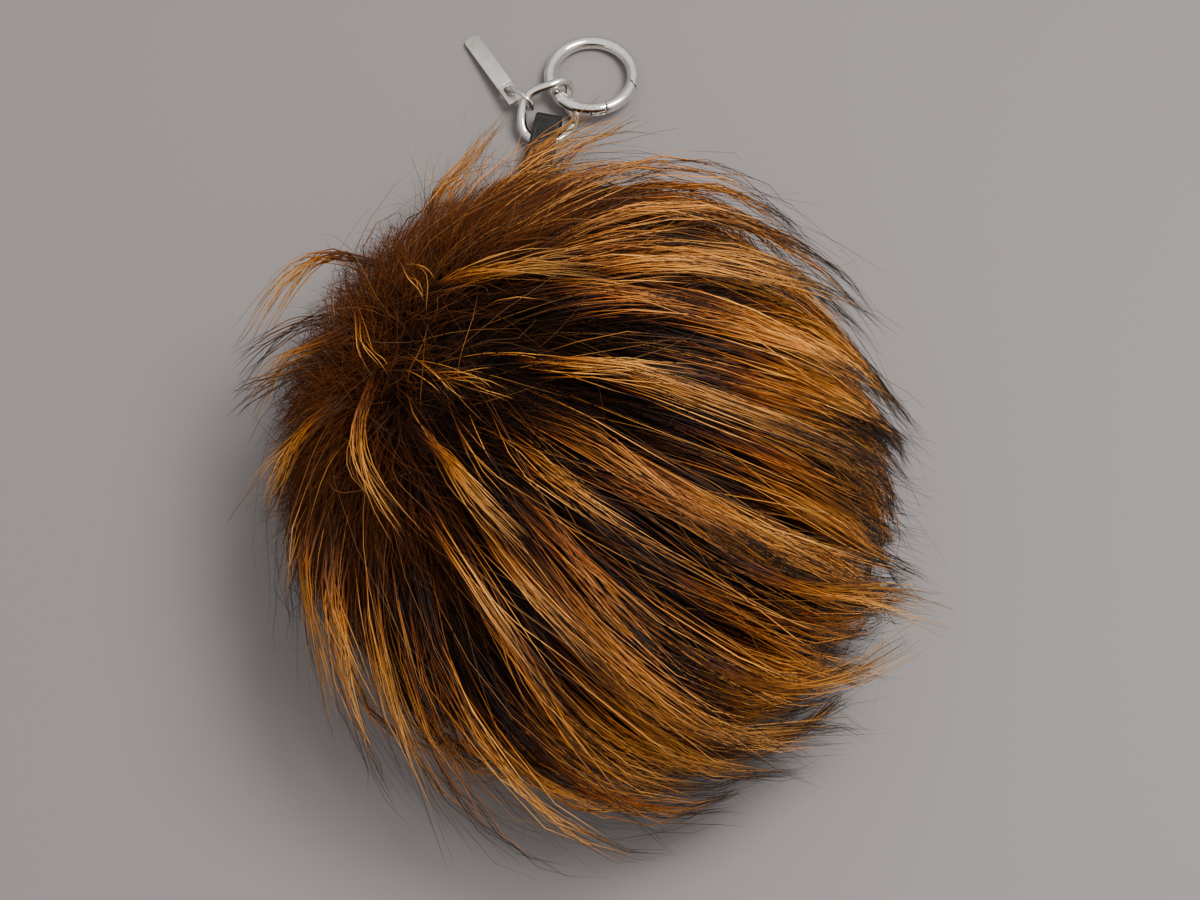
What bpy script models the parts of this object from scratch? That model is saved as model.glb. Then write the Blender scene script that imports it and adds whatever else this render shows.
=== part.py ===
"""A fur pom pom charm, lying on a table with its ring, link and tag spread out beyond the pompom.

Metres, +Z up. The origin is the middle of the pompom's flat rest spot, and +Y runs from the pompom to the
ring.
"""

import math
import random

import bmesh
import bpy
from mathutils import Matrix, Vector

# Room left between two pieces that touch or pass through each other
CLEARANCE = 0.0003

# Pompom backing: the sewn pelt ball under the fur, a little flattened where it rests
BACKING_CENTRE = Vector((0.0, 0.0, 0.042))
BACKING_HALF = Vector((0.047, 0.048, 0.045))
BACKING_LUMP = 0.03
LUMP_WAVES = (9, 8, 7)
LUMP_STARTS = (2, 1, 0)
FLAT_SNAP = 0.0002

# Fur: the surface that the lock tips reach, and how the hair is combed over from the whorl
PILE_OFFSET = Vector((0.014, -0.013, 0.004))
PILE_HALF = Vector((0.082, 0.090, 0.058))
TIP_REST_HEIGHT = 0.001
WHORL = Vector((-0.66, 0.22, 0.72)).normalized()
COMB_SWEEP = 1.0
COMB_BEND = 1.2
RISE_SHAPE = 0.95

# Locks: one for each cell of a six-sided grid on the backing, slimmer by the whorl, and both slimmer and
# shorter where the tips lie near the table
CELLS_PER_SIDE = 7
CELL_UNEVENNESS = 0.24
LOCK_SECTIONS = (
    {"height": 0.0, "width": 0.86},
    {"height": 0.28, "width": 0.80},
    {"height": 0.54, "width": 0.64},
    {"height": 0.76, "width": 0.36},
)
LOCK_FULLNESS = (0.94, 1.0)
LOCK_LENGTHS = (0.84, 1.0)
LOCK_STUB = 0.34
PILE_THINNEST = 0.0105
HEIGHT_TESTS = 20
WHORL_WIDTH = 0.4
LOW_TIP = 0.012
LOW_TIP_WIDTH = 0.6
LOW_TIP_LENGTH = 0.82
LOCK_SEED = 11

# Strap: narrow leather folded over the link, with both ends sewn to the pompom's neck
STRAP_FOLD = Vector((0.0031, 0.1090, 0.0038))
STRAP_TURN = math.radians(12)
STRAP_WIDTH = 0.0076
STRAP_THICKNESS = 0.0014
STRAP_LENGTH = 0.053
STRAP_FOLD_RADIUS = 0.0028
STRAP_SEWN_OFFSET = 0.0010
STRAP_SEWN_HEIGHT = 0.0095
STRAP_STEPS = 6
FOLD_STEPS = 8

# Neck: the gathered pelt that holds the strap's ends
NECK_WIDTH = 0.012
NECK_HEIGHT = 0.009
NECK_ROOM = {"side": 0.012, "height": 0.024, "start": 0.026}

# Spring gate ring, leaning with its near side on the link
RING_BORE = 0.020
RING_WIRE = 0.0036
RING_RADIUS = (RING_BORE + RING_WIRE) / 2
RING_CENTRE = Vector((0.0156, 0.1248, 0.0039))
RING_LEAN = math.radians(-10)
RING_SIDES = 12
RING_STEPS = 40
GATE_STEPS = 8
GATE_END_ANGLE = math.radians(-17.2)
GATE_END_SLANT = math.radians(5.8)
RIVET_ANGLE = math.radians(-84.5)
RIVET_RADIUS = 0.0006
RIVET_PROUD = 0.0001
GATE_GAP = 0.00045
KNUCKLE_RADIUS = 0.0028
FORK_SLOT = 0.0014
FORK_DEPTH = 0.0021
TONGUE_THICKNESS = 0.0008
TONGUE_RADIUS = 0.0015
TONGUE_WIDTH = 0.0024
TONGUE_LENGTH = 0.0046
TONGUE_TURN = math.radians(10)
EYE_SIDES = 20
BAR_SIDES = 2

# Oval link: one bent wire, over the ring's wire on the left and back under it on the right
LINK_WIRE = 0.0026
LINK_STEPS = 5
LINK_PATH = (
    {"place": "left", "x": -0.0040, "y": 0.1123, "z": 0.0062},
    {"place": "top left", "x": -0.0018, "y": 0.1170, "z": 0.0079},
    {"place": "over the ring", "x": 0.0042, "y": 0.1194, "z": 0.0088},
    {"place": "by its bore", "x": 0.0079, "y": 0.1211, "z": 0.0077},
    {"place": "inside the ring", "x": 0.0094, "y": 0.1201, "z": 0.0045},
    {"place": "under the ring", "x": 0.0088, "y": 0.1164, "z": 0.0017},
    {"place": "right", "x": 0.0109, "y": 0.1122, "z": 0.0019},
    {"place": "right, low", "x": 0.0079, "y": 0.1062, "z": 0.0033},
    {"place": "in the strap", "x": 0.0020, "y": 0.1036, "z": 0.0040},
    {"place": "left, low", "x": -0.0032, "y": 0.1068, "z": 0.0044},
)

# Tag: flat bar with a rounded far end, one end held up by its link and the other on the table
TAG_LENGTH = 0.0264
TAG_WIDTH = 0.0046
TAG_THICKNESS = 0.0012
TAG_ROUND = 0.0015
TAG_ROUND_STEPS = 10
TAG_BEVEL = 0.00015
TAG_SLOT = {"across": 0.0026, "along": 0.0036, "from_end": 0.0040}
TAG_END = Vector((-0.0056, 0.1160, 0.0050))
TAG_HEADING = math.radians(31.5)
TAG_PITCH = math.radians(-9)

# Tag link: small long link through the tag's slot and round the oval link
TAG_LINK_WIRE = 0.0015
TAG_LINK_HALF_HEIGHT = 0.0028
TAG_LINK_START = Vector((-0.0075, 0.1194, 0.0045))
TAG_LINK_END = Vector((-0.0014, 0.1134, 0.0084))
TAG_LINK_ARC_STEPS = 8

WIRE_BEVEL_RESOLUTION = 3
SHARP_ANGLE = math.radians(40)


def clear_scene():
    for old in list(bpy.data.objects):
        bpy.data.objects.remove(old, do_unlink=True)


def material(name, colour, roughness, metallic=0.0):
    made = bpy.data.materials.new(name)
    made.use_nodes = True
    shader = made.node_tree.nodes["Principled BSDF"]
    shader.inputs["Base Color"].default_value = (*colour, 1.0)
    shader.inputs["Roughness"].default_value = roughness
    shader.inputs["Metallic"].default_value = metallic
    return made


def add_object(name, mesh, finish):
    made = bpy.data.objects.new(name, mesh)
    bpy.context.collection.objects.link(made)
    if finish:
        mesh.materials.append(finish)
    return made


def mesh_from(name, bm):
    bmesh.ops.recalc_face_normals(bm, faces=bm.faces)
    mesh = bpy.data.meshes.new(name)
    bm.to_mesh(mesh)
    bm.free()
    mesh.shade_smooth()
    mesh.set_sharp_from_angle(angle=SHARP_ANGLE)
    return mesh


def skin(rings, closed=False):
    """A closed body through rings of points, which either has capped ends or runs back into itself."""
    bm = bmesh.new()
    loops = [[bm.verts.new(point) for point in ring] for ring in rings]
    for near, far in zip(loops, loops[1:] + loops[:1] if closed else loops[1:]):
        for k in range(len(near)):
            after = (k + 1) % len(near)
            bm.faces.new((near[k], near[after], far[after], far[k]))
    if not closed:
        bm.faces.new(reversed(loops[0]))
        bm.faces.new(loops[-1])
    return bm


def wire_loop(name, path, wire, finish):
    """A closed wire link along a smooth path."""
    curve = bpy.data.curves.new(name, "CURVE")
    curve.dimensions = "3D"
    curve.bevel_depth = wire / 2
    curve.bevel_resolution = WIRE_BEVEL_RESOLUTION
    spline = curve.splines.new("POLY")
    spline.points.add(len(path) - 1)
    for point, place in zip(spline.points, path):
        point.co = (*place, 1.0)
    spline.use_cyclic_u = True
    return add_object(name, curve, finish)


def combine(target, other, operation):
    """Adds or cuts a helper shape, which stays hidden."""
    cut = target.modifiers.new(other.name, "BOOLEAN")
    cut.operation = operation
    cut.object = other
    other.hide_render = True
    other.display_type = "WIRE"


def box_mesh(name, low, high):
    bm = bmesh.new()
    bmesh.ops.create_cube(bm, size=1.0)
    size = Vector(high) - Vector(low)
    middle = (Vector(high) + Vector(low)) / 2
    place = Matrix.Translation(middle) @ Matrix.Diagonal((*size, 1.0))
    bmesh.ops.transform(bm, matrix=place, verts=bm.verts)
    return mesh_from(name, bm)


def disc_mesh(name, radius, thickness):
    bm = bmesh.new()
    bmesh.ops.create_cone(
        bm, cap_ends=True, segments=EYE_SIDES, radius1=radius, radius2=radius, depth=thickness)
    return mesh_from(name, bm)


def distance_to_ellipsoid(direction, offset, half):
    """How far an ellipsoid, set off from the backing's centre, reaches in this direction."""
    a = sum((direction[k] / half[k]) ** 2 for k in range(3))
    b = sum(direction[k] * offset[k] / half[k] ** 2 for k in range(3))
    c = sum((offset[k] / half[k]) ** 2 for k in range(3)) - 1.0
    return (b + math.sqrt(b * b - a * c)) / a


def distance_to_level(direction, level):
    """How far the table, or a level just above it, is in this direction."""
    if direction.z >= -0.01:
        return 1.0
    return (BACKING_CENTRE.z - level) / -direction.z


def backing_radius(direction):
    lump = 1.0
    for k in range(3):
        lump *= math.sin(LUMP_WAVES[k] * direction[k] + LUMP_STARTS[k])
    smooth = distance_to_ellipsoid(direction, Vector(), BACKING_HALF)
    return min(smooth * (1 + BACKING_LUMP * lump), distance_to_level(direction, 0.0))


def pile_radius(direction):
    over_table = distance_to_level(direction, TIP_REST_HEIGHT)
    return min(distance_to_ellipsoid(direction, PILE_OFFSET, PILE_HALF), over_table)


def combed(direction, height):
    """The direction that hair rooted at this one has reached at this height of the pile, from 0 to 1."""
    from_whorl = direction.angle(WHORL)
    if from_whorl < 1e-4:
        return direction
    sideways = (direction - WHORL * math.cos(from_whorl)).normalized()
    swept = 2 * math.atan(math.exp(COMB_SWEEP * height ** COMB_BEND) * math.tan(from_whorl / 2))
    return WHORL * math.cos(swept) + sideways * math.sin(swept)


def pile_point(direction, height):
    """Where hair rooted in this direction has got to at this height of the pile."""
    here = combed(direction, height)
    inner = backing_radius(here)
    outer = max(pile_radius(here), inner)
    place = BACKING_CENTRE + here * (inner + (outer - inner) * height ** RISE_SHAPE)
    if place.z < FLAT_SNAP:
        place.z = 0.0
    return place


def strap_direction():
    """From the fold back to the pompom."""
    return Vector((-math.sin(STRAP_TURN), -math.cos(STRAP_TURN), 0.0))


def neck_middle():
    end = STRAP_FOLD + strap_direction() * (STRAP_LENGTH + CLEARANCE)
    return Vector((end.x, end.y, STRAP_SEWN_HEIGHT))


def in_strap_room(place):
    """Whether a point is in the room kept free for the neck and the strap."""
    beside = place - neck_middle()
    across = Vector((math.cos(STRAP_TURN), -math.sin(STRAP_TURN), 0.0)).dot(beside)
    return abs(across) < NECK_ROOM["side"] and place.z < NECK_ROOM["height"] and place.y > NECK_ROOM["start"]


def lock_height(direction):
    """How much of the pile's height a lock rooted here may take, or 0 where there is no room for one."""
    reached = 0.0
    for step in range(HEIGHT_TESTS + 1):
        height = step / HEIGHT_TESTS
        here = combed(direction, height)
        too_thin = pile_radius(here) - backing_radius(here) < PILE_THINNEST
        if too_thin or in_strap_room(pile_point(direction, height)):
            break
        reached = height
    return reached if reached > LOCK_STUB else 0.0


def grow_lock(bm, face, corners, length, rng):
    """Replaces a cell of the backing by a lock that tapers to a point, combed over with the rest."""
    middle = sum(corners, Vector()).normalized()
    near = list(face.verts)
    full = rng.uniform(*LOCK_FULLNESS) * min(1.0, WHORL_WIDTH + middle.angle(WHORL))
    if pile_point(middle, length).z < LOW_TIP:
        full *= LOW_TIP_WIDTH
        length *= LOW_TIP_LENGTH
    bmesh.ops.delete(bm, geom=[face], context="FACES_ONLY")
    for section in LOCK_SECTIONS:
        width = section["width"] * full
        spread = [middle.lerp(corner, width).normalized() for corner in corners]
        far = [bm.verts.new(pile_point(point, section["height"] * length)) for point in spread]
        for k in range(len(near)):
            after = (k + 1) % len(near)
            bm.faces.new((near[k], near[after], far[after], far[k]))
        near = far
    tip = bm.verts.new(pile_point(middle, length))
    for k in range(len(near)):
        bm.faces.new((near[k], near[(k + 1) % len(near)], tip))


def grow_neck(bm, face):
    """Draws the backing cell nearest to the strap out to a flat rectangular end."""
    near = list(face.verts)
    cell_middle = face.calc_center_median()
    across = Vector((math.cos(STRAP_TURN), -math.sin(STRAP_TURN), 0.0))
    far = []
    for vert in near:
        side = math.copysign(NECK_WIDTH / 2, (vert.co - cell_middle).dot(across))
        rise = math.copysign(NECK_HEIGHT / 2, vert.co.z - cell_middle.z)
        far.append(bm.verts.new(neck_middle() + across * side + Vector((0, 0, rise))))
    bmesh.ops.delete(bm, geom=[face], context="FACES_ONLY")
    for k in range(len(near)):
        after = (k + 1) % len(near)
        bm.faces.new((near[k], near[after], far[after], far[k]))
    bm.faces.new(far)


def build_pompom(finish):
    rng = random.Random(LOCK_SEED)
    bm = bmesh.new()
    bmesh.ops.create_cube(bm, size=2.0)
    bmesh.ops.subdivide_edges(bm, edges=bm.edges, cuts=CELLS_PER_SIDE - 1, use_grid_fill=True)
    cell = math.pi / 2 / CELLS_PER_SIDE
    directions = {}
    for vert in bm.verts:
        even = Vector([math.tan(value * math.pi / 4) for value in vert.co]).normalized()
        stray = Vector([rng.uniform(-1, 1) for _ in range(3)]) * cell * CELL_UNEVENNESS
        directions[vert] = (even + stray).normalized()
    for vert, direction in directions.items():
        vert.co = pile_point(direction, 0.0)
    cells = list(bm.faces)
    to_neck = neck_middle() - BACKING_CENTRE
    neck_cell = min(cells, key=lambda face: (face.calc_center_median() - BACKING_CENTRE).angle(to_neck))
    for face in cells:
        corners = [directions[vert] for vert in face.verts]
        if face is neck_cell:
            grow_neck(bm, face)
            continue
        room = lock_height(sum(corners, Vector()).normalized())
        length = min(room, rng.uniform(*LOCK_LENGTHS))
        if room > 0:
            grow_lock(bm, face, corners, length, rng)
    return add_object("fur_pompom", mesh_from("fur_pompom", bm), finish)


def strap_path():
    """Middle line of the strap, as distance back from the fold's centre and height over it."""
    rise = STRAP_SEWN_HEIGHT - STRAP_FOLD.z
    top = []
    bottom = []
    for step in range(STRAP_STEPS + 1):
        along = step / STRAP_STEPS
        eased = along * along * (3 - 2 * along)
        half_gap = STRAP_FOLD_RADIUS + (STRAP_SEWN_OFFSET - STRAP_FOLD_RADIUS) * eased
        top.append((STRAP_LENGTH * along, rise * eased + half_gap))
        bottom.append((STRAP_LENGTH * along, rise * eased - half_gap))
    fold = []
    for step in range(1, FOLD_STEPS):
        turn = math.pi * step / FOLD_STEPS
        fold.append((-STRAP_FOLD_RADIUS * math.sin(turn), STRAP_FOLD_RADIUS * math.cos(turn)))
    return list(reversed(top)) + fold + bottom


def build_strap(finish):
    path = strap_path()
    rings = []
    for k, (back, height) in enumerate(path):
        before = path[max(k - 1, 0)]
        after = path[min(k + 1, len(path) - 1)]
        run = Vector((after[0] - before[0], after[1] - before[1])).normalized()
        out = Vector((-run.y, run.x)) * STRAP_THICKNESS / 2
        if k in (0, len(path) - 1):
            out = Vector((0.0, math.copysign(STRAP_THICKNESS / 2, out.y)))
        half = STRAP_WIDTH / 2
        corners = ((-half, 1), (half, 1), (half, -1), (-half, -1))
        rings.append(
            [Vector((side, -(back + sign * out.x), height + sign * out.y)) for side, sign in corners])
    strap = add_object("leather_loop", mesh_from("leather_loop", skin(rings)), finish)
    strap.location = STRAP_FOLD
    strap.rotation_euler = (0.0, 0.0, -STRAP_TURN)
    return strap


def build_oval_link(finish):
    """A smooth closed line through the table of places, each stretch split into equal steps."""
    places = [Vector((row["x"], row["y"], row["z"])) for row in LINK_PATH]
    count = len(places)
    path = []
    for k in range(count):
        before, start, end, after = (places[(k + shift) % count] for shift in (-1, 0, 1, 2))
        for step in range(LINK_STEPS):
            t = step / LINK_STEPS
            path.append(
                0.5 * (2 * start + (end - before) * t + (2 * before - 5 * start + 4 * end - after) * t * t
                       + (3 * start - before - 3 * end + after) * t ** 3)
            )
    return wire_loop("oval_link", path, LINK_WIRE, finish)


def ring_place(angle, out=0.0, up=0.0):
    """A point by the ring's middle line, in the ring's own flat frame."""
    return Vector(((RING_RADIUS + out) * math.cos(angle), (RING_RADIUS + out) * math.sin(angle), up))


def angle_from_rivet(out, distance):
    """Angle at which a wire point this far out lies at a given distance from the rivet."""
    radius = RING_RADIUS + out
    return math.acos((radius ** 2 + RING_RADIUS ** 2 - distance ** 2) / (2 * RING_RADIUS * radius))


def gate_end(out):
    return GATE_END_ANGLE - GATE_END_SLANT * out / (RING_WIRE / 2)


def arc_mesh(name, start, end, steps):
    """A stretch of the ring's wire, whose end angles depend on how far out each wire point lies."""
    rings = []
    for step in range(steps + 1):
        ring = []
        for k in range(RING_SIDES):
            around = 2 * math.pi * k / RING_SIDES
            out = RING_WIRE / 2 * math.cos(around)
            up = RING_WIRE / 2 * math.sin(around)
            angle = start(out) + (end(out) - start(out)) * step / steps
            ring.append(ring_place(angle, out, up))
        rings.append(ring)
    return mesh_from(name, skin(rings))


def tongue_mesh():
    """The gate's flat tongue: an eye round the rivet and a bar that runs into the wire."""
    rings = []
    for k in range(EYE_SIDES):
        turn = 2 * math.pi * k / EYE_SIDES
        inner = Vector((math.cos(turn), math.sin(turn))) * (RIVET_RADIUS + CLEARANCE)
        outer = Vector((math.cos(turn), math.sin(turn))) * TONGUE_RADIUS
        beside = k if k < EYE_SIDES / 2 else k - EYE_SIDES
        if abs(beside) <= BAR_SIDES:
            outer = Vector((TONGUE_LENGTH, TONGUE_WIDTH / 2 * beside / BAR_SIDES))
        corners = ((inner, 1), (outer, 1), (outer, -1), (inner, -1))
        rings.append([Vector((flat.x, flat.y, side * TONGUE_THICKNESS / 2)) for flat, side in corners])
    return mesh_from("tongue", skin(rings, closed=True))


def build_ring(finish):
    frame = bpy.data.objects.new("ring_frame", None)
    bpy.context.collection.objects.link(frame)
    frame.location = RING_CENTRE
    frame.rotation_euler = (RING_LEAN, 0.0, 0.0)
    rivet = ring_place(RIVET_ANGLE)
    gap = GATE_GAP / RING_RADIUS

    body = add_object(
        "ring_body",
        arc_mesh(
            "ring_body",
            lambda out: gate_end(out) + gap,
            lambda out: 2 * math.pi + RIVET_ANGLE + angle_from_rivet(out, KNUCKLE_RADIUS),
            RING_STEPS,
        ),
        finish,
    )
    body.parent = frame
    reach = RING_WIRE
    slot = add_object("fork_slot", box_mesh(
        "fork_slot", (-FORK_DEPTH, -reach, -FORK_SLOT / 2), (2 * reach, reach, FORK_SLOT / 2)), None)
    pin = add_object("rivet", disc_mesh("rivet", RIVET_RADIUS, RING_WIRE + 2 * RIVET_PROUD), None)
    for helper in (slot, pin):
        helper.parent = frame
        helper.location = rivet
        helper.rotation_euler = (0.0, 0.0, RIVET_ANGLE + math.pi / 2 + TONGUE_TURN)
    combine(body, slot, "DIFFERENCE")
    combine(body, pin, "UNION")

    gate_mesh = arc_mesh(
        "ring_gate",
        lambda out: RIVET_ANGLE + angle_from_rivet(out, KNUCKLE_RADIUS + GATE_GAP),
        gate_end,
        GATE_STEPS,
    )
    gate_mesh.transform(Matrix.Translation(-rivet))
    gate = add_object("ring_gate", gate_mesh, finish)
    gate.parent = frame
    gate.location = rivet
    tongue = add_object("tongue", tongue_mesh(), None)
    tongue.parent = gate
    tongue.rotation_euler = (0.0, 0.0, RIVET_ANGLE + math.pi / 2 + TONGUE_TURN)
    combine(gate, tongue, "UNION")


def build_tag(finish):
    bm = bmesh.new()
    half = TAG_WIDTH / 2
    straight = TAG_LENGTH - TAG_ROUND
    outline = [(-half, 0.0), (half, 0.0)]
    for step in range(TAG_ROUND_STEPS + 1):
        turn = math.pi * step / TAG_ROUND_STEPS
        outline.append((half * math.cos(turn), straight + TAG_ROUND * math.sin(turn)))
    low = bm.faces.new([bm.verts.new((x, y, -TAG_THICKNESS / 2)) for x, y in outline])
    raised = bmesh.ops.extrude_face_region(bm, geom=[low])["geom"]
    top = [item for item in raised if isinstance(item, bmesh.types.BMVert)]
    bmesh.ops.translate(bm, vec=(0, 0, TAG_THICKNESS), verts=top)
    tag = add_object("metal_tag", mesh_from("metal_tag", bm), finish)
    tag.location = TAG_END
    tag.rotation_euler = (TAG_PITCH, 0.0, TAG_HEADING)
    edge = tag.modifiers.new("edge", "BEVEL")
    edge.width = TAG_BEVEL
    edge.segments = 1
    edge.limit_method = "ANGLE"
    edge.angle_limit = SHARP_ANGLE
    across = TAG_SLOT["across"] / 2
    middle = TAG_SLOT["from_end"]
    slot = add_object("tag_slot", box_mesh(
        "tag_slot",
        (-across, middle - TAG_SLOT["along"] / 2, -TAG_THICKNESS),
        (across, middle + TAG_SLOT["along"] / 2, TAG_THICKNESS)), None)
    slot.parent = tag
    combine(tag, slot, "DIFFERENCE")


def build_tag_link(finish):
    """A long link standing on edge: two straight runs and two half turns."""
    run = TAG_LINK_END - TAG_LINK_START
    along = run.normalized()
    side = Vector((along.y, -along.x, 0.0)).normalized()
    up = side.cross(along)
    height = TAG_LINK_HALF_HEIGHT
    path = []
    for end, start_turn in ((TAG_LINK_END - along * height, 90), (TAG_LINK_START + along * height, 270)):
        for step in range(TAG_LINK_ARC_STEPS + 1):
            turn = math.radians(start_turn - 180 * step / TAG_LINK_ARC_STEPS)
            path.append(end + along * height * math.cos(turn) + up * height * math.sin(turn))
    return wire_loop("tag_link", path, TAG_LINK_WIRE, finish)


def main():
    clear_scene()
    nickel = material("polished_nickel", (0.80, 0.78, 0.75), 0.18, 1.0)
    build_pompom(material("golden_fur", (0.42, 0.17, 0.04), 0.75))
    build_strap(material("black_leather", (0.02, 0.02, 0.022), 0.35))
    build_oval_link(nickel)
    build_ring(nickel)
    build_tag(material("satin_nickel", (0.68, 0.65, 0.60), 0.32, 1.0))
    build_tag_link(nickel)


main()
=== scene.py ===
import math

import bpy
import numpy as np
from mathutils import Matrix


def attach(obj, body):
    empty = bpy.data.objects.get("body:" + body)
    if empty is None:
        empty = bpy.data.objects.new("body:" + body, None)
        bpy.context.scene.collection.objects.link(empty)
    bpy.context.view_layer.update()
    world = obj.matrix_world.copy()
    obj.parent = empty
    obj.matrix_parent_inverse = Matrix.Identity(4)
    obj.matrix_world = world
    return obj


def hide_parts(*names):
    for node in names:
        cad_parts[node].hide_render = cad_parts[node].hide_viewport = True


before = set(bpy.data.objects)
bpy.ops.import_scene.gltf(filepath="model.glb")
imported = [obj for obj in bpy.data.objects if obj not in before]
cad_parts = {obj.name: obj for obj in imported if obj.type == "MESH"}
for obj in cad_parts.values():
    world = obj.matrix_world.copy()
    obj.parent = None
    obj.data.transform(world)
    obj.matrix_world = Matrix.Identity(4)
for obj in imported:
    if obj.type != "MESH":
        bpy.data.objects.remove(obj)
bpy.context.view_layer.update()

# The pelt ball
# A round of dyed fur, sewn up tight over stuffing, with a small flat spot where it rests. Its skin is dark,
# matt and lumpy. The fur grows from it, and the strap is sewn in at its neck.
PELT_CENTRE = np.array((0.0, 0.0, 0.042))
PELT_HALF = np.array((0.047, 0.048, 0.045))
PELT_LUMP = 0.03
LUMP_WAVES = np.array((9, 8, 7))
LUMP_STARTS = np.array((2, 1, 0))
PELT_COLOURS = ((0.010, 0.004, 0.002), (0.045, 0.014, 0.004))
PELT_SKIN_DEPTH = 0.0004
PELT_PATCHES = 90.0


def unit(vectors):
    return vectors / np.linalg.norm(vectors, axis=-1, keepdims=True)


def round_reach(direction, offset, half):
    """How far an ellipsoid, set off from the pelt's centre, reaches in each direction."""
    a = ((direction / half) ** 2).sum(-1)
    b = (direction * offset / half ** 2).sum(-1)
    c = ((offset / half) ** 2).sum() - 1.0
    return (b + np.sqrt(b * b - a * c)) / a


def level_reach(direction, level):
    """How far the table, or a level just above it, is in each direction."""
    down = np.minimum(direction[..., 2], -0.01)
    return np.where(direction[..., 2] < -0.01, (PELT_CENTRE[2] - level) / -down, 1.0)


def pelt_reach(direction):
    lump = np.sin(LUMP_WAVES * direction + LUMP_STARTS).prod(-1)
    smooth = round_reach(direction, np.zeros(3), PELT_HALF)
    return np.minimum(smooth * (1 + PELT_LUMP * lump), level_reach(direction, 0.0))


def new_material(name, roughness, metallic=0.0):
    """A material with its shader, ready for a finish to be wired in."""
    made = bpy.data.materials.new(name)
    made.use_nodes = True
    shader = made.node_tree.nodes["Principled BSDF"]
    shader.inputs["Roughness"].default_value = roughness
    shader.inputs["Metallic"].default_value = metallic
    return made, made.node_tree, shader


def add_node(tree, kind, inputs=None, **settings):
    """A shader node with its settings, and each named input set to a value or wired to a socket."""
    node = tree.nodes.new(kind)
    for name, value in settings.items():
        setattr(node, name, value)
    for name, value in (inputs or {}).items():
        if isinstance(value, bpy.types.NodeSocket):
            tree.links.new(value, node.inputs[name])
        else:
            node.inputs[name].default_value = value
    return node


def add_ramp(tree, factor, stops):
    """A colour ramp from (position, colour) stops."""
    ramp = add_node(tree, "ShaderNodeValToRGB", {"Fac": factor})
    elements = ramp.color_ramp.elements
    while len(elements) < len(stops):
        elements.new(0.5)
    for element, (position, colour) in zip(elements, stops):
        element.position = position
        element.color = (*colour, 1.0)
    return ramp.outputs["Color"]


def add_bump(tree, shader, height, strength, distance):
    bump = add_node(tree, "ShaderNodeBump", {"Height": height, "Strength": strength, "Distance": distance})
    tree.links.new(bump.outputs["Normal"], shader.inputs["Normal"])


def finish_piece(piece, finish, body, node):
    piece.data.materials.clear()
    piece.data.materials.append(finish)
    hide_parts(node)
    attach(piece, body)


def deselect_all():
    bpy.ops.object.select_all(action="DESELECT")


deselect_all()
bpy.ops.mesh.primitive_ico_sphere_add(subdivisions=6, radius=1.0, location=(0, 0, 0))
pelt = bpy.context.object
pelt.name = "pelt_ball"
points = np.empty(len(pelt.data.vertices) * 3)
pelt.data.vertices.foreach_get("co", points)
toward = unit(points.reshape(-1, 3))
points = PELT_CENTRE + toward * (pelt_reach(toward) - PELT_SKIN_DEPTH)[:, None]
pelt.data.vertices.foreach_set("co", points.ravel())
bpy.ops.object.shade_smooth()

pelt_skin, tree, shader = new_material("pelt_skin", 0.9)
place = add_node(tree, "ShaderNodeTexCoord").outputs["Object"]
noise = {"Vector": place, "Scale": PELT_PATCHES, "Detail": 6.0}
patches = add_node(tree, "ShaderNodeTexNoise", noise).outputs["Fac"]
stops = [(0.35, PELT_COLOURS[0]), (0.7, PELT_COLOURS[1])]
tree.links.new(add_ramp(tree, patches, stops), shader.inputs["Base Color"])
add_bump(tree, shader, patches, 0.6, 0.002)
finish_piece(pelt, pelt_skin, "charm", "fur_pompom")

# The leather strap
# A narrow strip of glossy black leather, cut flat, folded over the wire link, and sewn by both ends into the
# gathered neck of the pelt. Its cut edges are rounded and painted.
STRAP_FOLD = np.array((0.0031, 0.1090, 0.0038))
STRAP_TURN = math.radians(12)
STRAP_WIDTH = 0.0076
STRAP_THICKNESS = 0.0014
STRAP_LENGTH = 0.053
STRAP_FOLD_RADIUS = 0.0028
STRAP_SEWN_OFFSET = 0.0010
STRAP_SEWN_HEIGHT = 0.0095
STRAP_ROWS = 96
STRAP_COLUMNS = 6
STRAP_EDGE = 0.0004
STRAP_INSET = 0.0001
SMOOTH_ANGLE = math.radians(35)
LEATHER_BLACK = (0.008, 0.008, 0.009)
LEATHER_RUBBED = (0.020, 0.019, 0.020)
GRAIN_SCALE = 2600.0
RUB_SCALE = 260.0


def strap_place(share):
    """Distance back from the fold and height over its centre, from the top end, 0, to the lower end, 1."""
    half_turn = math.pi * STRAP_FOLD_RADIUS
    along = share * (2 * STRAP_LENGTH + half_turn)
    if STRAP_LENGTH < along < STRAP_LENGTH + half_turn:
        turn = (along - STRAP_LENGTH) / STRAP_FOLD_RADIUS
        return -STRAP_FOLD_RADIUS * math.sin(turn), STRAP_FOLD_RADIUS * math.cos(turn)
    back = STRAP_LENGTH - along if along < STRAP_LENGTH else along - STRAP_LENGTH - half_turn
    part = back / STRAP_LENGTH
    eased = part * part * (3 - 2 * part)
    half_gap = STRAP_FOLD_RADIUS + (STRAP_SEWN_OFFSET - STRAP_FOLD_RADIUS) * eased
    side = 1 if along < STRAP_LENGTH else -1
    return back, (STRAP_SEWN_HEIGHT - STRAP_FOLD[2]) * eased + side * half_gap


def make_active(piece):
    deselect_all()
    piece.select_set(True)
    bpy.context.view_layer.objects.active = piece


def apply_modifiers(piece):
    make_active(piece)
    for modifier in list(piece.modifiers):
        bpy.ops.object.modifier_apply(modifier=modifier.name)


def apply_place(piece):
    """Puts a finished piece's place and turn in its mesh, and smooths it."""
    make_active(piece)
    bpy.ops.object.transform_apply(location=True, rotation=True, scale=True)
    bpy.ops.object.shade_smooth_by_angle(angle=SMOOTH_ANGLE)


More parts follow.
